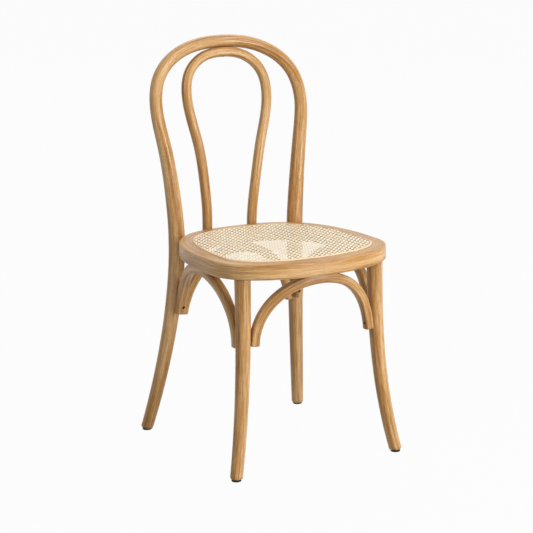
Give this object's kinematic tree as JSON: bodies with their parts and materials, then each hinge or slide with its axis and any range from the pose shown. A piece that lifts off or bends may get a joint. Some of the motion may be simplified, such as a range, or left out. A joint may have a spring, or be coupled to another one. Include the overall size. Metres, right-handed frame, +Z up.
{
  "type": "dining chair",
  "caption": "Bentwood dining chair: a long bent rod forms back and rear legs, an inner hoop fills the back, and arched braces carry a seat ring with woven cane.",
  "frame": {"origin": "on the floor, midway between the left and right feet and between the front of the seat ring and the back of the rear feet", "axes": "+Z up, the chair faces -Y, +X to the right as seen from the front"},
  "size_m": [0.4206, 0.4902, 0.8846],
  "materials": {
    "wood": "clear satin lacquer on bent oak",
    "cane": "natural woven cane, slightly glossy",
    "glide": "black moulded plastic",
    "fixing": "zinc plated"
  },
  "bodies": {
    "root": {"back_bow": "wood", "inner_hoop": "wood", "seat_frame": "wood", "cane_panel": "cane", "cane_spline": "cane", "front_leg_left": "wood", "front_leg_right": "wood", "brace_front": "wood", "brace_left": "wood", "brace_right": "wood", "brace_rear": "wood", "glide_front_left": "glide", "glide_front_right": "glide", "glide_rear_left": "glide", "glide_rear_right": "glide", "screw_front_left": "fixing", "screw_front_right": "fixing", "screw_left_front": "fixing", "screw_left_rear": "fixing", "screw_right_front": "fixing", "screw_right_rear": "fixing", "screw_rear_left": "fixing", "screw_rear_right": "fixing", "ring_screw_front": "fixing", "ring_screw_left": "fixing", "ring_screw_right": "fixing", "ring_screw_rear": "fixing", "hoop_screw_top": "fixing", "hoop_screw_left": "fixing", "hoop_screw_right": "fixing", "post_bolt_left": "fixing", "post_bolt_right": "fixing", "post_washer_left": "fixing", "post_washer_right": "fixing", "post_insert_left": "fixing", "post_insert_right": "fixing"}
  },
  "joints": []
}
